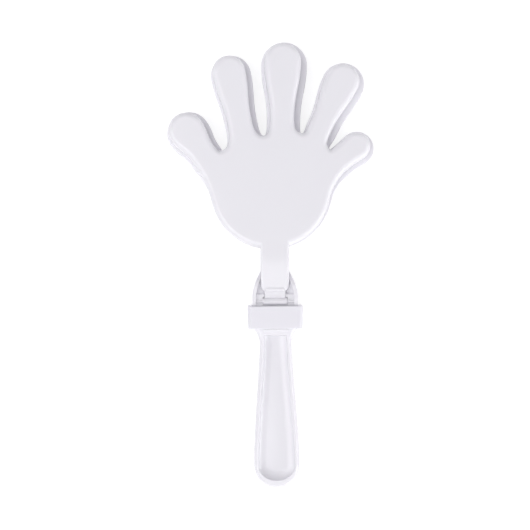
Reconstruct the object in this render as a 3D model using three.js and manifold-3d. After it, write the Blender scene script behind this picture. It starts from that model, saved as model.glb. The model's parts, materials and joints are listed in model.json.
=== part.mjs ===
// A party hand clapper: a flat middle hand moulded in one with its handle, an outer hand hinged on each
// side of it, and a collar that snaps over the handle and locks both hinges.
//
// Millimetres. The clapper lies on its back: X runs across the hand with the thumb on the left, Y runs
// from the handle to the fingertips and Z points up through the front hand. While it is modelled, y = 0
// is the line of the two hinges and z = 0 is the middle of the plate; the end of the file moves the
// origin to the middle of the underside.
import * as THREE from 'three';
import { mergeVertices } from 'three/addons/utils/BufferGeometryUtils.js';
import Module from 'manifold-3d';

const wasm = await Module();
wasm.setup();

// Fits
const SEAT_GAP = 0.3; // left between pieces that touch
const RUNNING_GAP = 0.3; // round the hinge pins and barrels

// The outer hands' outline. A finger narrows to rootHalf at its root and ends in a round tip; ledge is
// how far the middle hand shows past it on each side.
const THUMB = { root: [-44.2, 93.2], rootHalf: 8.6, tip: [-54.4, 107.3], tipRadius: 11.4, ledge: 2.3 };
const INDEX = { root: [-21.4, 113.8], rootHalf: 7.9, tip: [-27.4, 143.7], tipRadius: 10.4, ledge: 2.4 };
const MIDDLE = { root: [5.6, 114.9], rootHalf: 7.6, tip: [6.3, 150.0], tipRadius: 11.5, ledge: 3.0 };
const RING = { root: [30.8, 111.4], rootHalf: 7.5, tip: [43.4, 137.5], tipRadius: 10.8, ledge: 2.7 };
const PINKY = { root: [43.9, 90.8], rootHalf: 8.1, tip: [51.8, 96.8], tipRadius: 8.8, ledge: 1.9 };
const FINGERS = [THUMB, INDEX, MIDDLE, RING, PINKY];
const WEB_BOTTOMS = [[-32.3, 94.8], [-5.9, 103.9], [18.2, 105.1], [35.4, 94.9]];
const PALM = { centre: [-2.2, 70.5], radius: 37.6, ledge: 0.8, thumbSide: 195, pinkySide: -14 };
const PLATE_SHIFT = [1.0, -0.8]; // the middle hand's fingers, against the outer hands' fingers
const PLATE_WEB_RISE = 1.0; // the middle hand's webs are this much farther up
const FINGER_CURVE = 0.42; // how far a finger's side runs straight before it bends, as a share of its length
const WEB_CURVE = 0.62; // the same for a web
const PALM_CURVE = 0.4; // the same for the palm's sides

// The middle hand and the trays of the outer hands
const PLATE_THICKNESS = 2.0;
const TRAY_DEPTH = 8.2;
const TRAY_WALL = 1.4;
const TRAY_EDGE_ROUND = 3.8;

// The neck of an outer hand, measured from the hinge line
const NECK_WIDTH = 17.8;
const NECK_EDGE_ROUND = 1.6;
const NECK_BEND = 24.4; // above here the neck is level with the hand's face
const NECK_DROP = 2.6; // how far its face slopes down from there to its end
const NECK_END = 6.2;
const NECK_CORNER = [3.2, 4.2]; // width and height of its oval lower corners
const TONGUE_WIDTH = 13.3;
const TONGUE_THICKNESS = 2.4;
const TONGUE_BEHIND = 0.7; // its back lies this far behind the hinge line
const TONGUE_DIP = 0.8; // how far it dips towards the cross bar
const BEAD_RADIUS = 1.6; // a raised bead across the neck's end
const BEAD_WIDTH = 12.6;
const BEAD_RISE = 0.5; // above the sloping face
const BEAD_ABOVE_END = 1.5; // its centre line, up from the neck's end

// The cross bar at the end of that neck
const BARREL_RADIUS = 2.4;
const BARREL_ABOVE_PLATE = 1.5; // the clear height under it
const BARREL_LENGTH = 15.3;
const PIN_RADIUS = 1.5;
const PIN_ENGAGEMENT = 1.1; // how far a pin reaches into its bearing
const OPEN_ANGLE = 35; // degrees that an outer hand swings out before its heel stops it
const HEEL_THICKNESS = 1.6;
const HEEL_GAP = 0.1; // left between the heel and the plate at that angle

// The hinge cheeks of the middle hand
const CHEEK_WALL = 2.4;
const CHEEK_HEIGHT = 7.8; // from the middle of the plate to the top of a cheek
const CHEEK_FALL = 0.4; // how far its top falls towards the collar; it stays higher than the collar's bore
const CHEEK_FALL_FROM = 3;
const CRADLE_LEVEL = 6.2; // from the middle of the plate to the top of the cradles round the pins
const FLOOR_LEVEL = 4.4; // and to the floor between a cheek and the outer hand's neck
const CHEEK_FOOT_RISE = 1; // how steeply a cheek starts to rise from the plate
const CHEEK_FULL_HEIGHT_AT = 9;
const FLARE_START = 20;
const FLARE_END = 3;
const FLARE_INSET = 0.5; // it starts this far inside the neck's side
const FLARE_CURVE = { widen: 0.33, leave: 0.18, arrive: 0.34 }; // shares of its widening and its height
const RIB_WIDTH = 1.9;
const RIB_TOP_GAP = 0.4; // under the tongue

// The collar
const COLLAR_WIDTH = 34.6;
const COLLAR_LENGTH = 14.2;
const COLLAR_SIDE_WALL = 2.4;
const COLLAR_FACE_WALL = 2.4;
const COLLAR_CORNER = 2.6;
const COLLAR_DRAFT = 0.4; // narrower by this on each side at its lower end
const SNAP_WIDTH = 15.6;
const SNAP_LENGTH = 1.8; // how far below the collar the ramps end
const SNAP_OVERLAP = 0.5; // how far a snap ramp stands out past the collar's bore

// The handle
const HANDLE_LENGTH = 100.2; // from the collar to the handle's end
const HANDLE_THICKNESS = 12;
const HANDLE_WAIST_WIDTH = 19.8;
const HANDLE_WAIST_BELOW = 11; // the waist lies this far below the collar
const HANDLE_ROOT = 5; // how far the handle reaches up into the block under the collar
const SHOULDER_START = 0.4; // where the shoulder starts to narrow, up from the collar's lower end
const SHOULDER_CORNER = [2.2, 2.6]; // how far it turns in, and down, before it runs to the waist
const SHOULDER_END = 4.6; // from here down it runs straight into the waist
const GRIP_SWELL = [1, 22]; // how far the grip has widened after a length below the waist
const GRIP_END_RUN = 21; // length above the round end along which its sides draw parallel
const HANDLE_EDGE_WIDTH = 2.4;
const HANDLE_EDGE_DEPTH = 4;
const RECESS_BELOW = 4.2; // the recess starts this far below the collar
const RECESS_END_WALL = 0.8; // length over which it falls to its depth there
const RECESS_RIM = 2.6;
const RECESS_END_RIM = 4.9;
const RECESS_DEPTH = 3.6;
const RECESS_WALL = 5.5; // width of its rounded side wall
const INTO_FLOOR = 1.2; // the wall at its start runs on into its floor, as a share of its depth

// Smoothness of the faceted curves
const TIP_STEPS = 10;
const SIDE_STEPS = 5;
const WEB_STEPS = 4;
const PALM_STEPS = 16;
const EDGE_STEPS = 3;
const ROUND_STEPS = 20;
const SAME_POINT = 0.001; // points closer than this are one point
const CUT_PAST = 1; // a cutting solid runs this far past the faces that it cuts

// Sizes that follow from the ones above
const plateHalf = PLATE_THICKNESS / 2;
const rimLevel = plateHalf + SEAT_GAP;
const faceLevel = rimLevel + TRAY_DEPTH;
const hingeLevel = plateHalf + BARREL_ABOVE_PLATE + BARREL_RADIUS;
const boreWidth = COLLAR_WIDTH - 2 * COLLAR_SIDE_WALL - 2 * COLLAR_DRAFT;
const boreHalfDepth = faceLevel - COLLAR_FACE_WALL;
const blockHalfWidth = boreWidth / 2 - SEAT_GAP;
const blockHalfDepth = boreHalfDepth - SEAT_GAP;
const pocketHalfWidth = blockHalfWidth - CHEEK_WALL;
const collarTop = -(BARREL_RADIUS + RUNNING_GAP);
const collarBottom = collarTop - COLLAR_LENGTH;
const tongueBack = hingeLevel - TONGUE_BEHIND;
const tongueTop = tongueBack + TONGUE_THICKNESS;
const ribLow = BARREL_RADIUS + RUNNING_GAP;
const neckTop = PALM.centre[1] - PALM.radius / 2; // inside the palm
const flareTop = PALM.centre[1]; // inside the middle hand's palm
const openRadians = THREE.MathUtils.degToRad(OPEN_ANGLE);
const heelRoom = hingeLevel - plateHalf - HEEL_GAP;
const heelReach = (heelRoom - (HEEL_THICKNESS / 2) * Math.cos(openRadians)) / Math.sin(openRadians);
const heelSweep = Math.hypot(heelReach, HEEL_THICKNESS / 2) + RUNNING_GAP;
const handleEnd = collarBottom - HANDLE_LENGTH;
const handleHalfThickness = HANDLE_THICKNESS / 2;

const PLASTIC = new THREE.MeshStandardMaterial({ color: '#eeedf3', roughness: 0.28, metalness: 0 });
const COLLAR_PLASTIC = new THREE.MeshStandardMaterial({ color: '#ecebf2', roughness: 0.34, metalness: 0 });

// Turns a closed geometry into a solid that can be joined and cut
function solidOf(geometry) {
  const bare = geometry.clone();
  bare.deleteAttribute('normal');
  bare.deleteAttribute('uv');
  const merged = mergeVertices(bare);
  const vertProperties = new Float32Array(merged.getAttribute('position').array);
  const triVerts = new Uint32Array(merged.getIndex().array);
  return new wasm.Manifold(new wasm.Mesh({ numProp: 3, vertProperties, triVerts }));
}

function geometryOf(solid) {
  const mesh = solid.getMesh();
  const geometry = new THREE.BufferGeometry();
  geometry.setAttribute('position', new THREE.BufferAttribute(mesh.vertProperties, 3));
  geometry.setIndex(new THREE.BufferAttribute(mesh.triVerts, 1));
  geometry.computeVertexNormals();
  return geometry;
}

function mirroredInZ(geometry) {
  const mirrored = geometry.clone().scale(1, 1, -1);
  mirrored.getIndex().array.reverse();
  mirrored.computeVertexNormals();
  return mirrored;
}

// A shape through the points of several curves, leaving out the points that two curves share
function shapeAlong(curves) {
  const points = [];
  for (const [curve, steps] of curves) {
    for (const point of curve.getPoints(steps)) {
      const last = points[points.length - 1];
      if (!last || last.distanceTo(point) > SAME_POINT) points.push(point);
    }
  }
  if (points[0].distanceTo(points[points.length - 1]) < SAME_POINT) points.pop();
  return new THREE.Shape(points);
}

function vector([x, y]) {
  return new THREE.Vector2(x, y);
}

function along(point, direction, distance) {
  return point.clone().addScaledVector(direction, distance);
}

// A slab between two levels, its outline drawn from above
function slab(shape, low, high) {
  const geometry = new THREE.ExtrudeGeometry(shape, { depth: high - low, bevelEnabled: false, steps: 1 });
  return solidOf(geometry.translate(0, 0, low));
}

// A slab whose side is rounded towards both faces; the outline is its widest section
function roundedSlab(shape, low, high, edgeDepth, edgeWidth, inset = 0) {
  const geometry = new THREE.ExtrudeGeometry(shape, {
    depth: high - low - 2 * edgeDepth,
    bevelThickness: edgeDepth,
    bevelSize: edgeWidth,
    bevelOffset: -edgeWidth - inset,
    bevelSegments: EDGE_STEPS,
    steps: 1,
  });
  return solidOf(geometry.translate(0, 0, low + edgeDepth));
}

// A bar across the clapper; its outline is drawn from the side, with y to the right and z up
function crossSlab(points, halfWidth) {
  const shape = new THREE.Shape(points.map(vector));
  const geometry = new THREE.ExtrudeGeometry(shape, { depth: 2 * halfWidth, bevelEnabled: false, steps: 1 });
  const turn = new THREE.Matrix4().makeBasis(
    new THREE.Vector3(0, 1, 0),
    new THREE.Vector3(0, 0, 1),
    new THREE.Vector3(1, 0, 0),
  );
  return solidOf(geometry.applyMatrix4(turn).translate(-halfWidth, 0, 0));
}

function block(xLow, xHigh, yLow, yHigh, zLow, zHigh) {
  const geometry = new THREE.BoxGeometry(xHigh - xLow, yHigh - yLow, zHigh - zLow);
  return solidOf(geometry.translate((xLow + xHigh) / 2, (yLow + yHigh) / 2, (zLow + zHigh) / 2));
}

function crossCylinder(radius, halfLength, level, y = 0) {
  const geometry = new THREE.CylinderGeometry(radius, radius, 2 * halfLength, ROUND_STEPS);
  return solidOf(geometry.rotateZ(Math.PI / 2).translate(0, y, level));
}

function joined(solids) {
  return solids.reduce((sum, solid) => sum.add(solid));
}

// The corner points of one finger, in order from its thumb side over the tip to its pinky side
function fingerFrame(finger, overhang) {
  const grow = overhang * finger.ledge;
  const shift = vector(PLATE_SHIFT).multiplyScalar(overhang);
  const root = vector(finger.root).add(shift);
  const tip = vector(finger.tip).add(shift);
  const axis = tip.clone().sub(root).normalize();
  const left = new THREE.Vector2(-axis.y, axis.x);
  const half = finger.rootHalf + grow;
  const radius = finger.tipRadius + grow;
  return {
    axis, tip, radius, left,
    reach: tip.distanceTo(root),
    leftRoot: along(root, left, half),
    rightRoot: along(root, left, -half),
    leftTip: along(tip, left, radius),
    rightTip: along(tip, left, -radius),
  };
}

// One finger: up its left side, over the round tip and down its right side
function fingerCurves(frame) {
  const pull = FINGER_CURVE * frame.reach;
  const startAngle = Math.atan2(frame.left.y, frame.left.x);
  const tipArc = new THREE.EllipseCurve(
    frame.tip.x, frame.tip.y, frame.radius, frame.radius, startAngle, startAngle - Math.PI, true,
  );
  const up = new THREE.CubicBezierCurve(
    frame.leftRoot,
    along(frame.leftRoot, frame.axis, pull),
    along(frame.leftTip, frame.axis, -pull),
    frame.leftTip,
  );
  const down = new THREE.CubicBezierCurve(
    frame.rightTip,
    along(frame.rightTip, frame.axis, -pull),
    along(frame.rightRoot, frame.axis, pull),
    frame.rightRoot,
  );
  return [[up, SIDE_STEPS], [tipArc, TIP_STEPS], [down, SIDE_STEPS]];
}

// The web between two fingers: down to its bottom point and up again
function webCurves(before, after, bottom) {
  const level = before.axis.clone().add(after.axis).normalize();
  const across = new THREE.Vector2(level.y, -level.x);
  const fall = bottom.clone().sub(before.rightRoot);
  const rise = after.leftRoot.clone().sub(bottom);
  const down = new THREE.CubicBezierCurve(
    before.rightRoot,
    along(before.rightRoot, before.axis, WEB_CURVE * fall.dot(before.axis)),
    along(bottom, across, -WEB_CURVE * fall.dot(across)),
    bottom,
  );
  const up = new THREE.CubicBezierCurve(
    bottom,
    along(bottom, across, WEB_CURVE * rise.dot(across)),
    along(after.leftRoot, after.axis, -WEB_CURVE * rise.dot(after.axis)),
    after.leftRoot,
  );
  return [[down, WEB_STEPS], [up, WEB_STEPS]];
}

// The side of the palm, from its round lower edge to the outer side of the thumb or the pinky
function palmSide(edge, edgeDirection, root, rootDirection) {
  const pull = PALM_CURVE * edge.distanceTo(root);
  return new THREE.CubicBezierCurve(
    edge,
    along(edge, edgeDirection, pull),
    along(root, rootDirection, -pull),
    root,
  );
}

// The outline of a hand: overhang 0 is an outer hand, 1 the larger middle hand
function handShape(overhang) {
  const frames = FINGERS.map((finger) => fingerFrame(finger, overhang));
  const rise = new THREE.Vector2(0, PLATE_WEB_RISE * overhang);
  const webs = WEB_BOTTOMS.map((bottom) => vector(bottom).add(rise));
  const shift = vector(PLATE_SHIFT).multiplyScalar(overhang);
  const centre = vector(PALM.centre).add(new THREE.Vector2(shift.x, -shift.y));
  const radius = PALM.radius + overhang * PALM.ledge;
  const thumbAngle = THREE.MathUtils.degToRad(PALM.thumbSide);
  const pinkyAngle = THREE.MathUtils.degToRad(PALM.pinkySide);
  const lowerEdge = new THREE.EllipseCurve(
    centre.x, centre.y, radius, radius, pinkyAngle, thumbAngle - 2 * Math.PI, true,
  );
  const onThumbSide = lowerEdge.getPoint(1);
  const onPinkySide = lowerEdge.getPoint(0);
  const thumb = frames[0];
  const pinky = frames[frames.length - 1];
  const thumbSide = palmSide(
    onThumbSide, new THREE.Vector2(Math.sin(thumbAngle), -Math.cos(thumbAngle)),
    thumb.leftRoot, thumb.axis,
  );
  const pinkySide = palmSide(
    pinky.rightRoot, pinky.axis.clone().negate(),
    onPinkySide, new THREE.Vector2(Math.sin(pinkyAngle), -Math.cos(pinkyAngle)),
  );
  const curves = [[thumbSide, SIDE_STEPS]];
  frames.forEach((frame, place) => {
    curves.push(...fingerCurves(frame));
    if (place < webs.length) curves.push(...webCurves(frame, frames[place + 1], webs[place]));
  });
  curves.push([pinkySide, SIDE_STEPS], [lowerEdge, PALM_STEPS]);
  return shapeAlong(curves);
}

// The neck of an outer hand from above: straight, with oval corners at its end
function neckShape(inset) {
  const half = NECK_WIDTH / 2 - inset;
  const [wide, high] = NECK_CORNER.map((size) => size - inset);
  const cornerX = half - wide;
  const cornerY = NECK_END + inset + high;
  const rightCorner = new THREE.EllipseCurve(cornerX, cornerY, wide, high, 0, -Math.PI / 2, true);
  const leftCorner = new THREE.EllipseCurve(-cornerX, cornerY, wide, high, -Math.PI / 2, -Math.PI, true);
  const head = new THREE.LineCurve(new THREE.Vector2(-half, neckTop), new THREE.Vector2(half, neckTop));
  return shapeAlong([[head, 1], [rightCorner, EDGE_STEPS], [leftCorner, EDGE_STEPS]]);
}

// The neck's height seen from the side, its face lowered by an inset
function neckSide(inset, end) {
  const face = faceLevel - inset;
  const endFace = face - NECK_DROP;
  return [[end, 0], [neckTop, 0], [neckTop, face], [NECK_BEND, face], [NECK_END, endFace], [end, endFace]];
}

// The cross bar: a thick barrel, thinner pins at both ends, and a heel that meets the plate when the
// hand has swung out
function crossBar() {
  const barrel = crossCylinder(BARREL_RADIUS, BARREL_LENGTH / 2, hingeLevel);
  const pins = crossCylinder(PIN_RADIUS, pocketHalfWidth + PIN_ENGAGEMENT, hingeLevel);
  const heelHalf = HEEL_THICKNESS / 2;
  const heel = block(
    -BARREL_LENGTH / 2, BARREL_LENGTH / 2, -heelReach, 0, hingeLevel - heelHalf, hingeLevel + heelHalf,
  );
  return joined([barrel, pins, heel]);
}

// The tongue that joins the neck's end wall to the cross bar, its top dipping towards the bar
function tongue() {
  const wall = NECK_END + TRAY_WALL;
  const low = tongueTop - TONGUE_DIP;
  const barrelSide = 0.8 * BARREL_RADIUS;
  const dip = new THREE.CubicBezierCurve(
    new THREE.Vector2(NECK_END, tongueTop),
    new THREE.Vector2(0.5 * NECK_END, tongueTop),
    new THREE.Vector2(0.7 * NECK_END, low),
    new THREE.Vector2(barrelSide, low),
  ).getPoints(SIDE_STEPS);
  const top = [[wall, tongueTop], ...dip.map((point) => [point.x, point.y]), [0, low]];
  return crossSlab([[0, tongueBack], [wall, tongueBack], ...top], TONGUE_WIDTH / 2);
}

function bead() {
  const y = NECK_END + BEAD_ABOVE_END;
  const face = faceLevel - (NECK_DROP * (NECK_BEND - y)) / (NECK_BEND - NECK_END);
  return crossCylinder(BEAD_RADIUS, BEAD_WIDTH / 2, face + BEAD_RISE - BEAD_RADIUS, y);
}

// An outer hand: a tray with a rounded edge, open towards the plate, with its neck and cross bar
function outerHand() {
  const below = rimLevel - TRAY_EDGE_ROUND - CUT_PAST;
  const hand = handShape(0);
  const trayOutside = roundedSlab(hand, below, faceLevel, TRAY_EDGE_ROUND, TRAY_EDGE_ROUND);
  const insideRound = TRAY_EDGE_ROUND - TRAY_WALL;
  const trayInside = roundedSlab(hand, below, faceLevel - TRAY_WALL, insideRound, insideRound, TRAY_WALL);
  const neckBelow = rimLevel - NECK_EDGE_ROUND - CUT_PAST;
  const neckPlan = roundedSlab(neckShape(0), neckBelow, faceLevel, NECK_EDGE_ROUND, NECK_EDGE_ROUND);
  const neckOutside = neckPlan.intersect(crossSlab(neckSide(0, NECK_END), NECK_WIDTH));
  const neckInside = slab(neckShape(TRAY_WALL), below, faceLevel)
    .intersect(crossSlab(neckSide(TRAY_WALL, NECK_END + TRAY_WALL), NECK_WIDTH));
  const room = 2 * (HANDLE_LENGTH + faceLevel);
  const aboveRim = block(-room, room, -room, room, rimLevel, faceLevel + CUT_PAST);
  const shell = trayOutside.add(neckOutside).subtract(trayInside.add(neckInside)).intersect(aboveRim);
  return joined([shell, bead(), tongue(), crossBar()]);
}

// The flare's right edge, from the neck out to the full width of the block
function flareEdge(offset) {
  const start = NECK_WIDTH / 2 - FLARE_INSET - offset;
  const full = blockHalfWidth - offset;
  const fall = FLARE_START - FLARE_END;
  const { widen, leave, arrive } = FLARE_CURVE;
  return new THREE.CubicBezierCurve(
    new THREE.Vector2(start, FLARE_START),
    new THREE.Vector2(start + widen * (full - start), FLARE_START - leave * fall),
    new THREE.Vector2(full, FLARE_END + arrive * fall),
    new THREE.Vector2(full, FLARE_END),
  );
}

// A shape whose right half is given from top to bottom, closed with its mirror image
function symmetricShape(rightSide) {
  const leftSide = rightSide.map((point) => new THREE.Vector2(-point.x, point.y)).reverse();
  return new THREE.Shape([...rightSide, ...leftSide]);
}

function flareShape() {
  const rightSide = [new THREE.Vector2(NECK_WIDTH / 2 - FLARE_INSET, flareTop)];
  rightSide.push(...flareEdge(0).getPoints(2 * SIDE_STEPS), new THREE.Vector2(blockHalfWidth, collarTop));
  return symmetricShape(rightSide);
}

// The shallow space between the cheeks
function pocketShape() {
  const rightSide = flareEdge(CHEEK_WALL).getPoints(2 * SIDE_STEPS);
  rightSide.push(new THREE.Vector2(pocketHalfWidth, -heelSweep));
  return symmetricShape(rightSide);
}

// A shape as wide as two times halfWidth, from low to high
function bandShape(halfWidth, low, high) {
  return symmetricShape([new THREE.Vector2(halfWidth, high), new THREE.Vector2(halfWidth, low)]);
}

// A cutting solid over the front or the back of the plate, from a level up past the cheeks
function overPlate(shape, level, way) {
  const [low, high] = [way * level, way * (CHEEK_HEIGHT + CUT_PAST)].sort((a, b) => a - b);
  return slab(shape, low, high);
}

// The beds of an outer hand's neck, tongue and cross bar, down to the plate
function beds(way) {
  return [
    neckShape(-SEAT_GAP),
    bandShape(TONGUE_WIDTH / 2 + SEAT_GAP, 0, NECK_END),
    bandShape(BARREL_LENGTH / 2 + SEAT_GAP, -heelSweep, ribLow),
  ].map((shape) => overPlate(shape, plateHalf, way));
}

// The cheeks from the side: they rise from the plate to their full height and fall a little to the collar
function cheekSide() {
  const halfWay = (FLARE_START + CHEEK_FULL_HEIGHT_AT) / 2;
  const climb = new THREE.CubicBezierCurve(
    new THREE.Vector2(FLARE_START, plateHalf),
    new THREE.Vector2(halfWay, plateHalf + CHEEK_FOOT_RISE),
    new THREE.Vector2(halfWay, CHEEK_HEIGHT),
    new THREE.Vector2(CHEEK_FULL_HEIGHT_AT, CHEEK_HEIGHT),
  ).getPoints(SIDE_STEPS);
  const fallen = CHEEK_HEIGHT - CHEEK_FALL;
  const fall = new THREE.CubicBezierCurve(
    new THREE.Vector2(CHEEK_FALL_FROM, CHEEK_HEIGHT),
    new THREE.Vector2(0, CHEEK_HEIGHT),
    new THREE.Vector2(CHEEK_FALL_FROM / 2, fallen),
    new THREE.Vector2(collarTop + SEAT_GAP, fallen),
  ).getPoints(SIDE_STEPS);
  const upper = [...climb, ...fall].map((point) => [point.x, point.y]);
  const lower = upper.map(([y, z]) => [y, -z]).reverse();
  return [...upper, ...lower];
}

// The bearings are blind holes in the cheeks' inner faces, on both faces of the plate
function bearings() {
  const reach = pocketHalfWidth + PIN_ENGAGEMENT + RUNNING_GAP;
  const radius = PIN_RADIUS + RUNNING_GAP;
  return joined([crossCylinder(radius, reach, hingeLevel), crossCylinder(radius, reach, -hingeLevel)]);
}

// A rib across the pocket, above the cross bar and behind the tongue
function rib() {
  const top = tongueBack - RIB_TOP_GAP;
  return block(-pocketHalfWidth, pocketHalfWidth, ribLow, ribLow + RIB_WIDTH, -top, top);
}

// The cradles round the pins, on both faces of the plate
function cradles() {
  const half = pocketHalfWidth + CHEEK_WALL / 2; // into the cheeks
  const low = -heelSweep - CHEEK_WALL / 2; // into the block under the collar
  return block(-half, half, low, ribLow + RIB_WIDTH, -CRADLE_LEVEL, CRADLE_LEVEL);
}

// The neck of the middle hand, its cheeks and the block under the collar, with the outer hands' beds
function hingeHead() {
  const flare = flareShape();
  const cheeks = slab(flare, -CHEEK_HEIGHT, CHEEK_HEIGHT).intersect(crossSlab(cheekSide(), COLLAR_WIDTH));
  const seatTop = collarTop + 2 * SEAT_GAP; // a little way up into the cheeks
  const seat = block(-blockHalfWidth, blockHalfWidth, collarBottom, seatTop, -blockHalfDepth, blockHalfDepth);
  const neck = slab(flare, -plateHalf, plateHalf);
  const pockets = [1, -1].map((way) => overPlate(pocketShape(), FLOOR_LEVEL, way));
  const hollowed = cheeks.add(seat).subtract(joined(pockets));
  const bedded = joined([hollowed, cradles(), neck]).subtract(joined([...beds(1), ...beds(-1)]));
  return bedded.add(rib()).subtract(bearings());
}

// The handle from above: shoulder, waist, a long flare and a round end
function handleEdge() {
  const waist = HANDLE_WAIST_WIDTH / 2;
  const waistLevel = collarBottom - HANDLE_WAIST_BELOW;
  const endRadius = blockHalfWidth;
  const endCentre = handleEnd + endRadius;
  const [cornerIn, cornerDown] = SHOULDER_CORNER;
  const shoulder = new THREE.CubicBezierCurve(
    new THREE.Vector2(blockHalfWidth, collarBottom + SHOULDER_START),
    new THREE.Vector2(blockHalfWidth - cornerIn, collarBottom - cornerDown),
    new THREE.Vector2(waist, collarBottom - SHOULDER_END),
    new THREE.Vector2(waist, waistLevel),
  );
  const [swell, swellLength] = GRIP_SWELL;
  const grip = new THREE.CubicBezierCurve(
    new THREE.Vector2(waist, waistLevel),
    new THREE.Vector2(waist + swell, waistLevel - swellLength),
    new THREE.Vector2(endRadius, endCentre + GRIP_END_RUN),
    new THREE.Vector2(endRadius, endCentre),
  );
  const end = new THREE.EllipseCurve(0, endCentre, endRadius, endRadius, 0, -Math.PI / 2, true);
  return { shoulder, grip, end };
}

function handleShape() {
  const { shoulder, grip, end } = handleEdge();
  const points = [
    new THREE.Vector2(blockHalfWidth, collarBottom + HANDLE_ROOT),
    ...shoulder.getPoints(SIDE_STEPS),
    ...grip.getPoints(2 * SIDE_STEPS).slice(1),
    ...end.getPoints(TIP_STEPS).slice(1, -1),
  ];
  const left = points.map((point) => new THREE.Vector2(-point.x, point.y)).reverse();
  return new THREE.Shape([...points, new THREE.Vector2(0, handleEnd), ...left]);
}

// The recess follows the handle's edge at the width of its rim. It runs out past the handle's root, and
// the bridge under the collar ends it.
function recessShape() {
  const { grip } = handleEdge();
  const start = collarBottom + HANDLE_ROOT + RECESS_WALL;
  const endHalfWidth = blockHalfWidth - RECESS_RIM;
  const endLength = blockHalfWidth - RECESS_END_RIM;
  const endCentre = handleEnd + blockHalfWidth;
  const end = new THREE.EllipseCurve(0, endCentre, endHalfWidth, endLength, 0, -Math.PI / 2, true);
  const side = grip.getPoints(2 * SIDE_STEPS).map(({ x, y }) => new THREE.Vector2(x - RECESS_RIM, y));
  const points = [new THREE.Vector2(side[0].x, start), ...side, ...end.getPoints(TIP_STEPS).slice(1, -1)];
  const left = points.map((point) => new THREE.Vector2(-point.x, point.y)).reverse();
  return new THREE.Shape([...points, new THREE.Vector2(0, endCentre - endLength), ...left]);
}

// The slope from the block down to the handle's face with the bridge that ends the recess, and the ramps
// that the collar clicks past
function ramps() {
  const foot = collarBottom - SNAP_LENGTH;
  const edge = collarBottom - RECESS_BELOW;
  const bridge = [
    [collarBottom, blockHalfDepth],
    [foot, handleHalfThickness],
    [edge, handleHalfThickness],
    [edge - INTO_FLOOR * RECESS_END_WALL, handleHalfThickness - INTO_FLOOR * RECESS_DEPTH],
  ];
  const ramp = [[collarBottom - SEAT_GAP, boreHalfDepth + SNAP_OVERLAP], [foot, handleHalfThickness]];
  const bars = [bridge, ramp].map((front) => {
    const back = front.map(([y, z]) => [y, -z]).reverse();
    return crossSlab([...front, ...back], SNAP_WIDTH / 2);
  });
  return joined(bars);
}

function handle() {
  const body = roundedSlab(
    handleShape(), -handleHalfThickness, handleHalfThickness, HANDLE_EDGE_DEPTH, HANDLE_EDGE_WIDTH,
  );
  const floor = handleHalfThickness - RECESS_DEPTH;
  const cutTop = handleHalfThickness + 2 * RECESS_DEPTH;
  const frontCut = roundedSlab(recessShape(), floor, cutTop + RECESS_DEPTH, RECESS_DEPTH, RECESS_WALL);
  const backCut = roundedSlab(recessShape(), -cutTop - RECESS_DEPTH, -floor, RECESS_DEPTH, RECESS_WALL);
  return body.subtract(frontCut).subtract(backCut);
}

// The middle hand, its hinge head and the handle are one moulding
function centrePalm() {
  const plate = slab(handShape(1), -plateHalf, plateHalf);
  return joined([plate, hingeHead(), handle(), ramps()]);
}

// A ring with rounded outer edges, a little narrower at its lower end
function collar() {
  const half = COLLAR_WIDTH / 2;
  const outer = new THREE.Shape();
  const corner = COLLAR_CORNER;
  outer.moveTo(half - corner, -faceLevel);
  outer.absarc(half - corner, -faceLevel + corner, corner, -Math.PI / 2, 0, false);
  outer.absarc(half - corner, faceLevel - corner, corner, 0, Math.PI / 2, false);
  outer.absarc(-half + corner, faceLevel - corner, corner, Math.PI / 2, Math.PI, false);
  outer.absarc(-half + corner, -faceLevel + corner, corner, Math.PI, 1.5 * Math.PI, false);
  const body = new THREE.ExtrudeGeometry(outer, {
    depth: COLLAR_LENGTH, bevelEnabled: false, steps: 1, curveSegments: EDGE_STEPS,
  });
  body.rotateX(Math.PI / 2).translate(0, collarTop, 0);
  const position = body.getAttribute('position');
  for (let i = 0; i < position.count; i += 1) {
    const fall = (collarTop - position.getY(i)) / COLLAR_LENGTH;
    position.setX(i, position.getX(i) * (1 - (fall * COLLAR_DRAFT) / half));
  }
  const boreLow = collarBottom - CUT_PAST;
  const boreHigh = collarTop + CUT_PAST;
  const bore = block(-boreWidth / 2, boreWidth / 2, boreLow, boreHigh, -boreHalfDepth, boreHalfDepth);
  return solidOf(body).subtract(bore);
}

function piece(name, geometry, material) {
  const mesh = new THREE.Mesh(geometry, material);
  mesh.name = name;
  return mesh;
}

// An outer hand's mesh has its origin on its own hinge line, so turning it about X swings the hand
const handGeometry = geometryOf(outerHand()).translate(0, 0, -hingeLevel);
const frontPalm = piece('front_palm', handGeometry, PLASTIC);
frontPalm.position.z = hingeLevel;
const backPalm = piece('back_palm', mirroredInZ(handGeometry), PLASTIC);
backPalm.position.z = -hingeLevel;

const clapper = new THREE.Group();
clapper.add(piece('centre_palm', geometryOf(centrePalm()), PLASTIC));
clapper.add(frontPalm, backPalm);
clapper.add(piece('collar', geometryOf(collar()), COLLAR_PLASTIC));

// The origin lies in the middle of the underside
const box = new THREE.Box3().setFromObject(clapper);
const centre = box.getCenter(new THREE.Vector3());
clapper.position.set(-centre.x, -centre.y, -box.min.z);

export default clapper;
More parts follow.
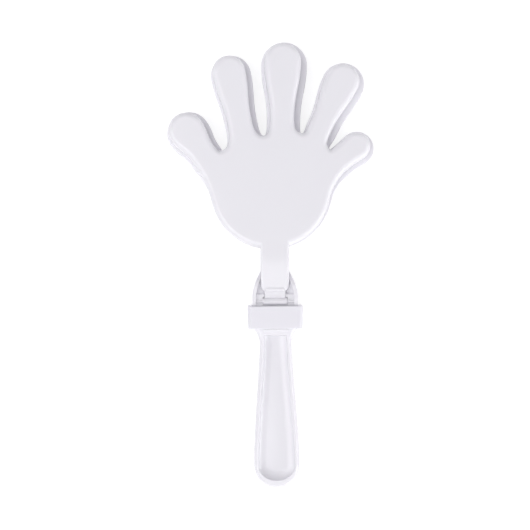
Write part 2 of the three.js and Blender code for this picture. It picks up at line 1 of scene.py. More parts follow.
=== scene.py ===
import json
import math
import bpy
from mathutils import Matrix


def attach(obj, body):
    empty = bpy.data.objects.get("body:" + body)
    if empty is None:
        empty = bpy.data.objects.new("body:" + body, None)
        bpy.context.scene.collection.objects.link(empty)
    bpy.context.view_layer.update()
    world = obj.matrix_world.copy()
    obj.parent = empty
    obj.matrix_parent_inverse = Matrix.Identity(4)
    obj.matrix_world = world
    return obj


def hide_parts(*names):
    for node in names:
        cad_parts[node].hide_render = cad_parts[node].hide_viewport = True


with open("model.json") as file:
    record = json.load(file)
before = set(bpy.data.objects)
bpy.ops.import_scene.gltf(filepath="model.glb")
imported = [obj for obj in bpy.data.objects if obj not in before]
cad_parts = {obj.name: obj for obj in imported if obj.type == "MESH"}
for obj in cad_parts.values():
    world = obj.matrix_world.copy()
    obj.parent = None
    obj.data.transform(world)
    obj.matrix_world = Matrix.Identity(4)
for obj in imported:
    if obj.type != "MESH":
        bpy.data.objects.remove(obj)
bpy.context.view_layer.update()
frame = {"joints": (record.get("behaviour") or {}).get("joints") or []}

from types import SimpleNamespace

import bmesh
import bpy
from bpy.props import FloatProperty, FloatVectorProperty, PointerProperty
from mathutils import Matrix, Vector

bl_info = {
    "name": "Hand clapper",
    "version": (1, 0, 0),
    "blender": (4, 5, 0),
    "location": "3D View > Sidebar > Clapper",
    "description": "Builds a party hand clapper of white moulded plastic and the studio that shows it",
    "category": "Object",
}

# Everything is modelled in millimetres from the middle of the plate on the hinge line, and finished() sets
# it in place in metres. The two hinge lines of the frame say where that point is.
FRONT_HINGE, BACK_HINGE = (Vector(joint["pos_m"]) for joint in frame["joints"])
HINGE_MIDDLE = (FRONT_HINGE + BACK_HINGE) / 2
HINGE_HEIGHT = (FRONT_HINGE.z - BACK_HINGE.z) / 2
TO_METRES = 0.001

# A finger: middle of its root, half its width there, middle of its round tip, the tip's radius, and how
# far the middle hand shows past it. Thumb, index, middle, ring and little finger.
FINGERS = (
    ((-44.2, 93.2), 8.6, (-54.4, 107.3), 11.4, 2.3),
    ((-21.4, 113.8), 7.9, (-27.4, 143.7), 10.4, 2.4),
    ((5.6, 114.9), 7.6, (6.3, 150.0), 11.5, 3.0),
    ((30.8, 111.4), 7.5, (43.4, 137.5), 10.8, 2.7),
    ((43.9, 90.8), 8.1, (51.8, 96.8), 8.8, 1.9),
)
WEB_BOTTOMS = ((-32.3, 94.8), (-5.9, 103.9), (18.2, 105.1), (35.4, 94.9))  # lowest points of the webs
PALM_CENTRE = Vector((-2.2, 70.5))
PALM_RADIUS = 37.6
PALM_LEDGE = 0.8  # how far the middle hand shows past the palm
PALM_ARC = (-14, -165)  # degrees, the round lower edge from the little finger's side to the thumb's
MIDDLE_SHIFT = Vector((1.0, -0.8))  # of the middle hand's fingers against the outer hands' fingers
MIDDLE_WEB_RISE = 1.0  # how much higher the middle hand's webs lie
FINGER_PULL = 0.42  # how long the curves run straight, as shares of their lengths
WEB_PULL = 0.62
PALM_PULL = 0.4
NECK_ROOT = PALM_CENTRE.y - PALM_RADIUS / 2  # where an outer hand's neck starts, inside the palm

CURVE_STEPS = 14  # points on each cubic piece of an outline
STRAIGHT_STEPS = 2  # the same for an outline of straight pieces only
ROUND_STEPS = 8  # segments on a rounded edge
SOFT_EDGE_STEPS = 3  # segments on a fine one
BAR_SEGMENTS = 48  # round a barrel, a pin or a bearing
BEND_CUTS = 8  # parts into which the neck's bend is cut
SHARP_ANGLE = math.radians(32)  # edges that turn more than this are shaded sharp
CORNER_ANGLE = math.radians(60)  # and those of the collar that turn more than this are rounded
NEAR_SQUARE = 0.6  # rad, how far from a right angle an edge of the tongue may be to be rounded
UPRIGHT = 0.1  # the most that the normal of an upright wall leans up or down
LEVEL = 0.9  # the least that the normal of a level face points up or down
SAME_POINT = 0.002  # mm
LONG_EDGE = 1  # mm, the collar's corner edges are longer
TOP_RISE = 1  # mm, the edges along the tongue's top rise less
PAST_ENDS = 1  # mm that the collar's bore is cut past its ends

# The hinge and the handle, in mm or as shares
PAST_CHEEKS = 9  # from the middle of the plate to where the solids that cut the hinge's pockets end
SHOULDER_START = 0.4  # where the handle starts to narrow, up from the collar's lower end
SHOULDER_CORNER = Vector((2.2, 2.6))  # how far it turns in, and down, before it runs to the waist
SHOULDER_END = 4.6  # from here down it runs straight into the waist
INTO_FLOOR = 1.2  # the wall at the recess's start runs on into its floor, as a share of its depth
BRIDGE_BELOW = 0.1  # how far the bridge between the ramp and the recess lies below the rims
SNAP_BELOW = 0.3  # the collar clicks home this far above the ramp
HANDLE_ROOT = 5  # how far the handle reaches up into the block under the collar
GRIP_SWELL = Vector((1, 22))  # how far the grip's side pulls out, and down, as it leaves the waist
GRIP_END_RUN = 21  # length above the round end along which its sides draw parallel
RECESS_CUTTER = 3  # height of the solid that cuts the recess, as a multiple of its depth
FLARE_LEAVE = (0.33, 0.18)  # the flare's pull at its start, as shares of its width and length
FLARE_ARRIVE = 0.34  # and at its end, as a share of its length
TONGUE_LEAVE, TONGUE_ARRIVE = 0.5, 0.7  # pulls of the tongue's dip, as shares of its length
TONGUE_FLAT = 0.8  # how far the dipped part reaches, as a share of the barrel's radius
PIN_ROUND = 0.25  # rounding of a pin's end, as a share of its reach
BEAD_ROUND = 0.8  # rounding of the bead's ends, as a share of its radius

COLOUR_A, COLOUR_B = 6, 7  # sockets of a Mix node for colours, which share their names with others
MIXED_COLOUR = 2

# The skin of the plastic. Spacings are in mm, depths in metres.
CLOUDS, CLOUD_SHADE = 30, 0.985  # between clouds in the pigment, and the darker colour as a share
PATCHES, PATCH_DULLNESS = 2, 0.03  # between dull patches, and the roughness they add or take
NOISE_RANGE = (0.3, 0.7)  # nearly all values of a noise texture lie between these
EDGE_POINTINESS = (0.51, 0.56)  # from no wear at all to full wear
WEAR_DULLNESS = 0.12  # roughness added where an edge is rubbed bare of its polish
WEAR_GREY = 0.99  # the plastic's colour there, as a share
RIPPLES, RIPPLE_STRENGTH, RIPPLE_DEPTH = 14, 0.5, 0.00006
GLOW_SHARE, GLOW_DEPTH = 0.3, 0.0015  # of the light that goes into it and out again
GLOW_COLOURS = (1, 0.95, 1)  # how far each colour spreads in it, as shares of that depth

# The studio, in metres and watts. A lamp: its name, the direction in which it stands, where 0 is towards
# the fingertips and 90 to the right, its height in degrees, its sides and its power.
LAMPS = (
    ("main soft box", 215, 60, (3.4, 3.0), 14.5),
    ("upper left soft box", 250, 60, (3.4, 3.0), 18.5),
    ("left soft box", 255, 48, (3.2, 2.8), 18),
    ("low right soft box", 105, 12, (2.4, 0.8), 24),
    ("low grip soft box", 145, 12, (2.4, 0.8), 19),
)
LAMP_DISTANCE = 3
ROOM_COLOUR, ROOM_STRENGTH = (0.98, 0.965, 1), 0.515
FLOOR_HALF_SIZE = 4
FLOOR_LEVEL = -0.0002  # a hair below the clapper
FLOOR_CATCH = (0.35, 0.35, 0.36)  # the floor's white that the lamps light, so that shadows show
FLOOR_GLOW = 0.78  # and the white that is always there
CAMERA_PLACE = (-0.0043, -0.0004, 0.4595)
CAMERA_ANGLE = math.radians(40.94)  # across the picture
CAMERA_ROLL = math.radians(-0.6)
CAMERA_NEAREST = 0.01


def own_names(group):
    """The names of the sizes or colours in a property group."""
    return [name for name in group.bl_rna.properties.keys() if name not in {"rna_type", "name"}]


def millimetres(sizes):
    """The lengths of a property group, in millimetres."""
    return SimpleNamespace(**{name: getattr(sizes, name) / TO_METRES for name in own_names(sizes)})


def length(name, description, default):
    """A length in metres for a property group."""
    return FloatProperty(
        name=name, description=description, default=default, min=0, unit="LENGTH", precision=5
    )


class ClapperHandSizes(bpy.types.PropertyGroup):
    """Sizes of the three hands and of an outer hand's neck and cross bar"""

    plate_thickness: length("Plate", "Thickness of the middle hand", 0.002)
    plate_edge: length("Plate edge", "Rounding of the middle hand's edge", 0.0007)
    rim_gap: length("Rim gap", "Gap between an outer hand's rim and the middle hand", 0.00005)
    tray_depth: length("Tray depth", "Depth of an outer hand, rim to face", 0.00845)
    tray_wall: length("Tray wall", "Wall of an outer hand", 0.0014)
    tray_edge: length("Tray edge", "Rounding between an outer hand's side and its face", 0.0038)
    neck_width: length("Neck width", "Width of an outer hand's neck", 0.0178)
    neck_edge: length("Neck edge", "Rounding of the neck's upper edges", 0.0016)
    neck_corner: length("Neck corner", "Width of the neck's rounded lower corners", 0.0032)
    neck_corner_rise: length("Corner rise", "Height of the neck's rounded lower corners", 0.0042)
    neck_end: length("Neck end", "From the hinge line to the neck's end wall", 0.0062)
    neck_bend: length("Neck bend", "From the hinge line to where the neck starts to slope down", 0.0244)
    neck_bend_run: length("Bend run", "Length over which the neck bends, each way", 0.0040)
    neck_drop: length("Neck drop", "How far the neck's face falls to its end", 0.0026)
    tongue_width: length("Tongue width", "Width of the tongue that carries the cross bar", 0.0133)
    tongue_thickness: length("Tongue", "Thickness of the tongue", 0.0024)
    tongue_dip: length("Tongue dip", "How far the tongue dips towards the cross bar", 0.0008)
    tongue_edge: length("Tongue edge", "Rounding of the tongue's edges", 0.0005)
    tongue_behind: length("Tongue back", "From the hinge line to the tongue's back", 0.0007)
    bead_radius: length("Bead", "Radius of the raised bead across the neck's end", 0.0016)
    bead_width: length("Bead width", "Length of that bead", 0.0126)
    bead_rise: length("Bead rise", "How far the bead stands above the sloping face", 0.0005)
    bead_above: length("Bead place", "From the neck's end up to the bead's line", 0.0015)
    barrel_radius: length("Barrel", "Radius of the cross bar's barrel", 0.0024)
    barrel_length: length("Barrel length", "Length of the cross bar's barrel", 0.0153)
    barrel_edge: length("Barrel edge", "Rounding of the barrel's ends", 0.0005)
    pin_radius: length("Pin", "Radius of the hinge pins", 0.0015)
    pin_reach: length("Pin reach", "How far a pin goes into its bearing", 0.0011)
    heel_thickness: length("Heel", "Thickness of the heel that stops the swing", 0.0016)
    heel_reach: length("Heel reach", "How far the heel stands out below the hinge line", 0.00548)


class ClapperHingeSizes(bpy.types.PropertyGroup):
    """Sizes of the hinge cheeks on the middle hand"""

    cheek_wall: length("Cheek wall", "Thickness of a hinge cheek", 0.0024)
    cheek_height: length("Cheek height", "From the middle of the plate to the top of a cheek", 0.0078)
    cheek_full_at: length("Full height", "From the hinge line to where a cheek has its full height", 0.009)
    cheek_fall: length("Cheek fall", "How far a cheek's top falls towards the collar", 0.0004)
    cheek_fall_from: length("Fall start", "From the hinge line to where that fall starts", 0.003)
    cradle_level: length("Cradles", "From the middle of the plate to the cradles' tops", 0.0062)
    floor_level: length("Floor", "From the middle of the plate to the floor beside a neck", 0.0044)
    cheek_foot: length("Cheek foot", "How steeply a cheek leaves the plate", 0.001)
    flare_start: length("Flare start", "From the hinge line to where the neck starts to widen", 0.020)
    flare_end: length("Flare end", "From the hinge line to where it has its full width", 0.003)
    flare_inset: length("Flare inset", "How far inside the outer hand's neck the flare starts", 0.0005)
    collar_gap: length("Collar gap", "Gap between the collar and the cheeks", 0.0003)
    bed_gap: length("Bed gap", "Gap round an outer hand's neck, tongue, barrel and pins", 0.0001)
    running_gap: length("Running gap", "Gap past the pins' ends, the barrel and the heel's sweep", 0.0003)
    rib_width: length("Rib", "Width of the rib across the pocket", 0.0019)
    rib_gap: length("Rib gap", "Gap between that rib and the tongue", 0.0004)


class ClapperHandleSizes(bpy.types.PropertyGroup):
    """Sizes of the handle, its recess and the ramps that hold the collar"""

    handle_length: length("Length", "From the collar to the handle's end", 0.1002)
    thickness: length("Thickness", "Thickness of the handle", 0.012)
    waist_width: length("Waist", "Width at the waist", 0.0198)
    waist_below: length("Waist place", "How far the waist lies below the collar", 0.011)
    edge_width: length("Edge width", "Width of the rounded edge", 0.0024)
    edge_depth: length("Edge depth", "Depth of the rounded edge", 0.004)
    recess_below: length("Recess start", "How far below the collar the recess starts", 0.0042)
    recess_end_wall: length("End wall", "Length in which its upper end falls to its depth", 0.0008)
    recess_rim: length("Recess rim", "Width of the rim beside the recess", 0.0026)
    recess_end_rim: length("Recess end rim", "Width of the rim at the recess's round end", 0.0049)
    recess_depth: length("Recess depth", "Depth of the recess", 0.0036)
    recess_wall: length("Recess wall", "Width of its rounded side", 0.0055)
    snap_width: length("Ramp width", "Width of the ramp that the collar clicks past", 0.0156)
    snap_length: length("Ramp length", "How far below the collar the ramp ends", 0.0018)
    snap_overlap: length("Ramp overlap", "How far the ramp stands past the collar's bore", 0.0005)


class ClapperCollarSizes(bpy.types.PropertyGroup):
    """Sizes of the collar"""

    width: length("Width", "Width of the collar at its upper end", 0.0346)
    height: length("Length", "Length of the collar along the handle", 0.0142)
    side_wall: length("Side wall", "Wall at the collar's sides", 0.0024)
    face_wall: length("Face wall", "Wall at the collar's faces", 0.0024)
    corner: length("Corner", "Rounding of the collar's long edges", 0.0026)
    edge: length("Edge", "Rounding of the collar's end edges", 0.0006)
    draft: length("Draft", "How much narrower each side is at the lower end", 0.0004)
    seat_gap: length("Seat gap", "Gap between the collar and the block in it", 0.0003)


def colour(name, description, default):
    """A colour for a property group, given as an sRGB hex value."""
    return FloatVectorProperty(
        name=name, description=description, default=linear(default), size=3, min=0, max=1, subtype="COLOR"
    )


def linear(code):
    """An sRGB hex value as the linear colour that Blender works in."""
    channels = [int(code[place:place + 2], 16) / 255 for place in (1, 3, 5)]
    return tuple(c / 12.92 if c <= 0.04045 else ((c + 0.055) / 1.055) ** 2.4 for c in channels)


class ClapperColours(bpy.types.PropertyGroup):
    """Colours of the plastic and of the floor"""

    polystyrene: colour("Polystyrene", "White of the hands and the handle", "#F0EFF4")
    polypropylene: colour("Polypropylene", "White of the collar", "#EFEEF4")
    floor: colour("Floor", "Colour of the floor", "#F6F6F8")


def cubic(start, leave, arrive, end):
    return [Vector(point) for point in (start, leave, arrive, end)]


def straight(start, end):
    start, end = Vector(start), Vector(end)
    return cubic(start, start.lerp(end, 1 / 3), start.lerp(end, 2 / 3), end)


def corners(points):
    """Straight pieces from each point to the next and back to the first."""
    return [straight(point, points[(place + 1) % len(points)]) for place, point in enumerate(points)]


def arc(centre, radii, start, end):
    """Cubic pieces along an ellipse between two angles in degrees, a quarter turn at most in each."""
    count = math.ceil(abs(end - start) / 90)
    step = math.radians(end - start) / count
    pull = 4 / 3 * math.tan(step / 4)
    pieces = []
    for place in range(count):
        first = math.radians(start) + place * step
        a = Vector((math.cos(first), math.sin(first)))
        b = Vector((math.cos(first + step), math.sin(first + step)))
        turn_a, turn_b = Vector((-a.y, a.x)), Vector((-b.y, b.x))
        unit = (a, a + pull * turn_a, b - pull * turn_b, b)
        pieces.append([Vector(centre) + point * Vector(radii) for point in unit])
    return pieces


def with_mirror(right_side):
    """Cubic pieces down the right side, closed with their mirror image up the left side."""
    left_side = [[Vector((-p.x, p.y)) for p in reversed(piece)] for piece in reversed(right_side)]
    low, high = right_side[-1][3], right_side[0][0]
    pieces = list(right_side)
    if low.x > SAME_POINT:
        pieces.append(straight(low, (-low.x, low.y)))
    pieces += left_side
    if high.x > SAME_POINT:
        pieces.append(straight((-high.x, high.y), high))
    return pieces


def finger_sides(finger, overhang):
    """Direction of a finger and the points where its sides meet the webs and the round tip."""
    root, half, tip, radius, ledge = finger
    root, tip = (Vector(point) + overhang * MIDDLE_SHIFT for point in (root, tip))
    axis = (tip - root).normalized()
    left = Vector((-axis.y, axis.x))
    half, radius = half + overhang * ledge, radius + overhang * ledge
    return SimpleNamespace(
        axis=axis, left=left, tip=tip, radius=radius, pull=FINGER_PULL * (tip - root).length,
        left_root=root + half * left, right_root=root - half * left,
        left_tip=tip + radius * left, right_tip=tip - radius * left,
    )


def finger_outline(finger):
    """Up a finger's left side, over its round tip and down its right side."""
    run = finger.pull * finger.axis
    angle = math.degrees(math.atan2(finger.left.y, finger.left.x))
    up = cubic(finger.left_root, finger.left_root + run, finger.left_tip - run, finger.left_tip)
    over = arc(finger.tip, (finger.radius, finger.radius), angle, angle - 180)
    down = cubic(finger.right_tip, finger.right_tip - run, finger.right_root + run, finger.right_root)
    return [up, *over, down]


def web_outline(before, after, bottom):
    """Down into the web between two fingers and up again."""
    level = (before.axis + after.axis).normalized()
    across = Vector((level.y, -level.x))
    fall, rise = bottom - before.right_root, after.left_root - bottom
    down = cubic(
        before.right_root, before.right_root + WEB_PULL * fall.dot(before.axis) * before.axis,
        bottom - WEB_PULL * fall.dot(across) * across, bottom,
    )
    up = cubic(
        bottom, bottom + WEB_PULL * rise.dot(across) * across,
        after.left_root - WEB_PULL * rise.dot(after.axis) * after.axis, after.left_root,
    )
    return [down, up]


def palm_side(start, start_way, end, end_way):
    """The side of the palm, between its round lower edge and the thumb or the little finger."""
    pull = PALM_PULL * (end - start).length
    return cubic(start, start + pull * start_way, end - pull * end_way, end)


def hand_outline(overhang):
    """The outline of a hand: overhang 0 is an outer hand, 1 the larger middle hand."""
    fingers = [finger_sides(finger, overhang) for finger in FINGERS]
    pieces = []
    for place, finger in enumerate(fingers):
        pieces += finger_outline(finger)
        if place < len(WEB_BOTTOMS):
            bottom = Vector(WEB_BOTTOMS[place]) + Vector((0, MIDDLE_WEB_RISE * overhang))
            pieces += web_outline(finger, fingers[place + 1], bottom)
    centre = PALM_CENTRE + overhang * Vector((MIDDLE_SHIFT.x, -MIDDLE_SHIFT.y))
    radius = PALM_RADIUS + overhang * PALM_LEDGE
    lower = arc(centre, (radius, radius), *PALM_ARC)
    first, last = lower[0][0], lower[-1][3]
    way_in = Vector(((first - centre).y, -(first - centre).x)).normalized()
    way_out = Vector(((last - centre).y, -(last - centre).x)).normalized()
    pinky, thumb = fingers[-1], fingers[0]
    pinky_side = palm_side(pinky.right_root, -pinky.axis, first, way_in)
    thumb_side = palm_side(last, way_out, thumb.left_root, thumb.axis)
    return [*pieces, pinky_side, *lower, thumb_side]


def face_in(pieces, level=0, steps=CURVE_STEPS):
    """A bmesh with one level face inside cubic pieces that close on themselves."""
    curve = bpy.data.curves.new("outline", "CURVE")
    curve.resolution_u = steps
    spline = curve.splines.new("BEZIER")
    spline.bezier_points.add(len(pieces) - 1)
    spline.use_cyclic_u = True
    for place, knot in enumerate(spline.bezier_points):
        knot.handle_left_type = knot.handle_right_type = "FREE"
        knot.co = pieces[place][0].to_3d()
        knot.handle_right = pieces[place][1].to_3d()
        knot.handle_left = pieces[place - 1][2].to_3d()
    holder = bpy.data.objects.new("outline", curve)
    line = bpy.data.meshes.new_from_object(holder)
    bm = bmesh.new()
    bm.from_mesh(line)
    bpy.data.objects.remove(holder)
    bpy.data.curves.remove(curve)
    bpy.data.meshes.remove(line)
    bmesh.ops.remove_doubles(bm, verts=bm.verts, dist=SAME_POINT)
    bmesh.ops.contextual_create(bm, geom=bm.edges)
    bmesh.ops.translate(bm, verts=bm.verts, vec=(0, 0, level))
    return bm


def raised(bm, height):
    """The faces of a bmesh drawn up into a closed solid."""
    made = bmesh.ops.extrude_face_region(bm, geom=bm.faces[:])
    top = [item for item in made["geom"] if isinstance(item, bmesh.types.BMVert)]
    bmesh.ops.translate(bm, verts=top, vec=(0, 0, height))
    bmesh.ops.recalc_face_normals(bm, faces=bm.faces)
    return bm


def slab(pieces, low, high, steps=CURVE_STEPS):
    return raised(face_in(pieces, low, steps), high - low)


def cross_slab(pieces, half_width, steps=CURVE_STEPS):
    """A bar across the clapper, its outline drawn from the side with y to the right and z up."""
    bm = slab(pieces, -half_width, half_width, steps)
    turn = Matrix(((0, 0, 1), (1, 0, 0), (0, 1, 0)))
    bmesh.ops.transform(bm, matrix=turn.to_4x4(), verts=bm.verts)
    return bm


def block(low, high):
    bm = bmesh.new()
    low, high = Vector(low), Vector(high)
    place = Matrix.Translation((low + high) / 2) @ Matrix.Diagonal((*(high - low), 1))
    bmesh.ops.create_cube(bm, size=1, matrix=place)
    return bm


def extent(edge, axis):
    """How far an edge runs along x (0), y (1) or z (2)."""
    one, other = edge.verts
    return abs(one.co[axis] - other.co[axis])


def cross_bar(radius, half_length, level, y=0, end_round=0):
    """A round bar across the clapper, its ends rounded if asked."""
    bm = bmesh.new()
    place = Matrix.Translation((0, y, level)) @ Matrix.Rotation(math.pi / 2, 4, "Y")
    bmesh.ops.create_cone(
        bm, cap_ends=True, segments=BAR_SEGMENTS, radius1=radius, radius2=radius,
        depth=2 * half_length, matrix=place,
    )
    if end_round:
        ends = [edge for edge in bm.edges if extent(edge, 0) < SAME_POINT]
        rounded(bm, ends, end_round, ROUND_STEPS)
    return bm


def rounded(bm, edges, width, steps):
    bmesh.ops.bevel(
        bm, geom=edges, offset=width, offset_type="OFFSET", segments=steps, profile=0.5,
        affect="EDGES", material=-1, clamp_overlap=False, loop_slide=True,
    )


def cut_across(bm, point, way):
    """Cuts the faces of a bmesh where they cross the plane through a point, square to a direction."""
    bmesh.ops.bisect_plane(bm, geom=[*bm.verts, *bm.edges, *bm.faces], plane_co=point, plane_no=way)


def rim(bm, ways=(1,)):
    """The edges between upright walls and the faces that look up (1) or down (-1)."""
    bm.normal_update()
    found = []
    for edge in bm.edges:
        if len(edge.link_faces) == 2:
            slopes = sorted((face.normal.z for face in edge.link_faces), key=abs)
            if abs(slopes[0]) < UPRIGHT and any(slopes[1] * way > LEVEL for way in ways):
                found.append(edge)
    return found


def mesh_of(name, bm):
    """A mesh with the shape of a bmesh, which is used up."""
    mesh = bpy.data.meshes.new(name)
    bm.to_mesh(mesh)
    bm.free()
    return mesh


def linked(name, data):
    """A new object in the scene."""
    item = bpy.data.objects.new(name, data)
    bpy.context.scene.collection.objects.link(item)
    return item


def combined(base, operation, *others):
    """A solid joined with others, cut by them or kept only inside them."""
    holders = []
    for bm in (base, *others):
        bmesh.ops.recalc_face_normals(bm, faces=bm.faces)
        holders.append(linked("solid", mesh_of("solid", bm)))
    for other in holders[1:]:
        step = holders[0].modifiers.new("step", "BOOLEAN")
        step.solver = "MANIFOLD"
        step.operation = operation
        step.object = other
    bpy.context.view_layer.update()
    depsgraph = bpy.context.evaluated_depsgraph_get()
    result = bpy.data.meshes.new_from_object(holders[0].evaluated_get(depsgraph))
    made = bmesh.new()
    made.from_mesh(result)
    bpy.data.meshes.remove(result)
    for holder in holders:
        mesh = holder.data
        bpy.data.objects.remove(holder)
        bpy.data.meshes.remove(mesh)
    if not made.faces:
        raise RuntimeError(f"{operation} left nothing")
    return made


def finished(name, bm, material, body, node):
    """The piece in place, in metres, riding on its body and standing for its CAD node."""
    bmesh.ops.remove_doubles(bm, verts=bm.verts, dist=SAME_POINT)
    bmesh.ops.dissolve_degenerate(bm, edges=bm.edges, dist=SAME_POINT)
    bmesh.ops.delete(bm, geom=[edge for edge in bm.edges if not edge.link_faces], context="EDGES")
    place = Matrix.Translation(HINGE_MIDDLE) @ Matrix.Scale(TO_METRES, 4)
    bmesh.ops.transform(bm, matrix=place, verts=bm.verts)
    bmesh.ops.recalc_face_normals(bm, faces=bm.faces)
    mesh = mesh_of(name, bm)
    mesh.shade_smooth()
    mesh.set_sharp_from_angle(angle=SHARP_ANGLE)
    mesh.materials.append(material)
    piece = linked(name, mesh)
    shading = piece.modifiers.new("flat faces stay flat", "WEIGHTED_NORMAL")
    shading.keep_sharp = True
    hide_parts(node)
    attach(piece, body)


def levels(hand, hinge, collar):
    """Heights and widths that the pieces share."""
    plate = hand.plate_thickness / 2
    rim_level = plate + hand.rim_gap
    face = rim_level + hand.tray_depth
    bore_width = collar.width - 2 * collar.side_wall - 2 * collar.draft
    bore_depth = face - collar.face_wall
    rib = hand.barrel_radius + hinge.running_gap
    sweep = math.hypot(hand.heel_reach, hand.heel_thickness / 2) + hinge.running_gap
    return SimpleNamespace(
        plate=plate, rim=rim_level, face=face, hinge=HINGE_HEIGHT / TO_METRES,
        bore_half_width=bore_width / 2, bore_half_depth=bore_depth,
        block_half_width=bore_width / 2 - collar.seat_gap, block_half_depth=bore_depth - collar.seat_gap,
        rib=rib, sweep=sweep, collar_top=-rib, collar_bottom=-rib - collar.height,
    )


def neck_fall(hand, y):
    """How far the neck's face lies below the hand's face at a distance from the hinge line."""
    slope = hand.neck_drop / (hand.neck_bend - hand.neck_end)
    run = hand.neck_bend_run
    past = hand.neck_bend + run - y
    if past <= 0:
        return 0
    if past < 2 * run:
        return slope * past ** 2 / (4 * run)
    return slope * (past - run)


def neck_outline(hand, inset):
    """The neck of an outer hand from above, from inside the palm to its end with the oval corners."""
    sizes = (hand.neck_width / 2, hand.neck_corner, hand.neck_corner_rise)
    half, corner, rise = (size - inset for size in sizes)
    end = hand.neck_end + inset
    return with_mirror([
        straight((half, NECK_ROOT), (half, end + rise)),
        *arc((half - corner, end + rise), (corner, rise), 0, -90),
    ])


def neck(hand, inset, low, high, edge):
    """The neck of an outer hand: straight, and bent down softly towards its end."""
    bm = slab(neck_outline(hand, inset), low, high)
    for place in range(BEND_CUTS + 1):
        y = hand.neck_bend + hand.neck_bend_run * (2 * place / BEND_CUTS - 1)
        cut_across(bm, (0, y, 0), (0, 1, 0))
    for vert in bm.verts:
        if vert.co.z > (low + high) / 2:
            vert.co.z -= neck_fall(hand, vert.co.y)
    if edge:
        rounded(bm, rim(bm), edge, ROUND_STEPS)
    return bm


def tray(hand, at, inset):
    """The hand of an outer hand, solid: its outside, or with an inset the hollow in it."""
    outline = hand_outline(0)
    if not inset:
        bm = slab(outline, at.rim, at.face)
        rounded(bm, rim(bm), hand.tray_edge, ROUND_STEPS)
        return bm
    below = at.rim - hand.tray_wall
    bm = face_in(outline, below)
    ring = bmesh.ops.inset_region(
        bm, faces=bm.faces[:], thickness=inset, use_boundary=True, use_even_offset=True
    )
    bmesh.ops.delete(bm, geom=ring["faces"], context="FACES")
    raised(bm, at.face - inset - below)
    rounded(bm, rim(bm), hand.tray_edge - inset, ROUND_STEPS)
    return bm


def hinge_bar(hand, hinge, at):
    """The barrel, the pins, the heel and the tongue that carry an outer hand."""
    pocket = at.block_half_width - hinge.cheek_wall
    half = hand.barrel_length / 2
    barrel = cross_bar(hand.barrel_radius, half, at.hinge, end_round=hand.barrel_edge)
    pin_end = PIN_ROUND * hand.pin_reach
    pins = cross_bar(hand.pin_radius, pocket + hand.pin_reach, at.hinge, end_round=pin_end)
    heel_half = hand.heel_thickness / 2
    heel = block((-half, -hand.heel_reach, at.hinge - heel_half), (half, 0, at.hinge + heel_half))
    back = at.hinge - hand.tongue_behind
    top, end = back + hand.tongue_thickness, hand.neck_end
    dip, wall = top - hand.tongue_dip, end + hand.tray_wall
    flat = hand.barrel_radius * TONGUE_FLAT
    tongue = cross_slab([
        straight((0, back), (wall, back)), straight((wall, back), (wall, top)),
        straight((wall, top), (end, top)),
        cubic((end, top), (end * TONGUE_LEAVE, top), (end * TONGUE_ARRIVE, dip), (flat, dip)),
        straight((flat, dip), (0, dip)), straight((0, dip), (0, back)),
    ], hand.tongue_width / 2)
    upper = [
        edge for edge in tongue.edges
        if abs(edge.calc_face_angle(0) - math.pi / 2) < NEAR_SQUARE
        and extent(edge, 0) < SAME_POINT and extent(edge, 2) < TOP_RISE
        and min(vert.co.z for vert in edge.verts) > at.hinge
    ]
    rounded(tongue, upper, hand.tongue_edge, SOFT_EDGE_STEPS)
    return barrel, pins, heel, tongue


def outer_hand(hand, hinge, at):
    """An outer hand: a tray open towards the plate, with its neck, bead, tongue and cross bar."""
    outside = combined(tray(hand, at, 0), "UNION", neck(hand, 0, at.rim, at.face, hand.neck_edge))
    below = at.rim - hand.tray_wall
    hollow_neck = neck(hand, hand.tray_wall, below, at.face - hand.tray_wall, 0)
    shell = combined(outside, "DIFFERENCE", tray(hand, at, hand.tray_wall), hollow_neck)
    bead_at = hand.neck_end + hand.bead_above
    bead_level = at.face - neck_fall(hand, bead_at) + hand.bead_rise - hand.bead_radius
    bead_end = BEAD_ROUND * hand.bead_radius
    bead = cross_bar(hand.bead_radius, hand.bead_width / 2, bead_level, bead_at, bead_end)
    return combined(shell, "UNION", bead, *hinge_bar(hand, hinge, at))


def flare_edge(hand, hinge, at, offset):
    """The flare's right edge, from the neck out to the full width of the block."""
    start = hand.neck_width / 2 - hinge.flare_inset - offset
    full = at.block_half_width - offset
    fall = hinge.flare_start - hinge.flare_end
    out, down = FLARE_LEAVE
    return cubic(
        (start, hinge.flare_start), (start + out * (full - start), hinge.flare_start - down * fall),
        (full, hinge.flare_end + FLARE_ARRIVE * fall), (full, hinge.flare_end),
    )


def over_plate(pieces, floor, way):
    """A cutting solid over one face of the plate, from a level up past the cheeks."""
    low, high = sorted((way * floor, way * PAST_CHEEKS))
    return slab(pieces, low, high)


def pocket(hand, hinge, at, way):
    """The shallow space between the cheeks, over one face of the plate."""
    edge = flare_edge(hand, hinge, at, hinge.cheek_wall)
    return over_plate(with_mirror([edge, straight(edge[3], (edge[3].x, -at.sweep))]), hinge.floor_level, way)


def beds(hand, hinge, at, way):
    """The beds of an outer hand's neck, tongue and cross bar, sunk in that space down to the plate."""
    gap = hinge.bed_gap
    tongue, bar = hand.tongue_width / 2 + gap, hand.barrel_length / 2 + gap
    outlines = (
        neck_outline(hand, -gap),
        with_mirror([straight((tongue, hand.neck_end), (tongue, 0))]),
        with_mirror([straight((bar, at.rib), (bar, -at.sweep))]),
    )
    return [over_plate(outline, at.plate, way) for outline in outlines]


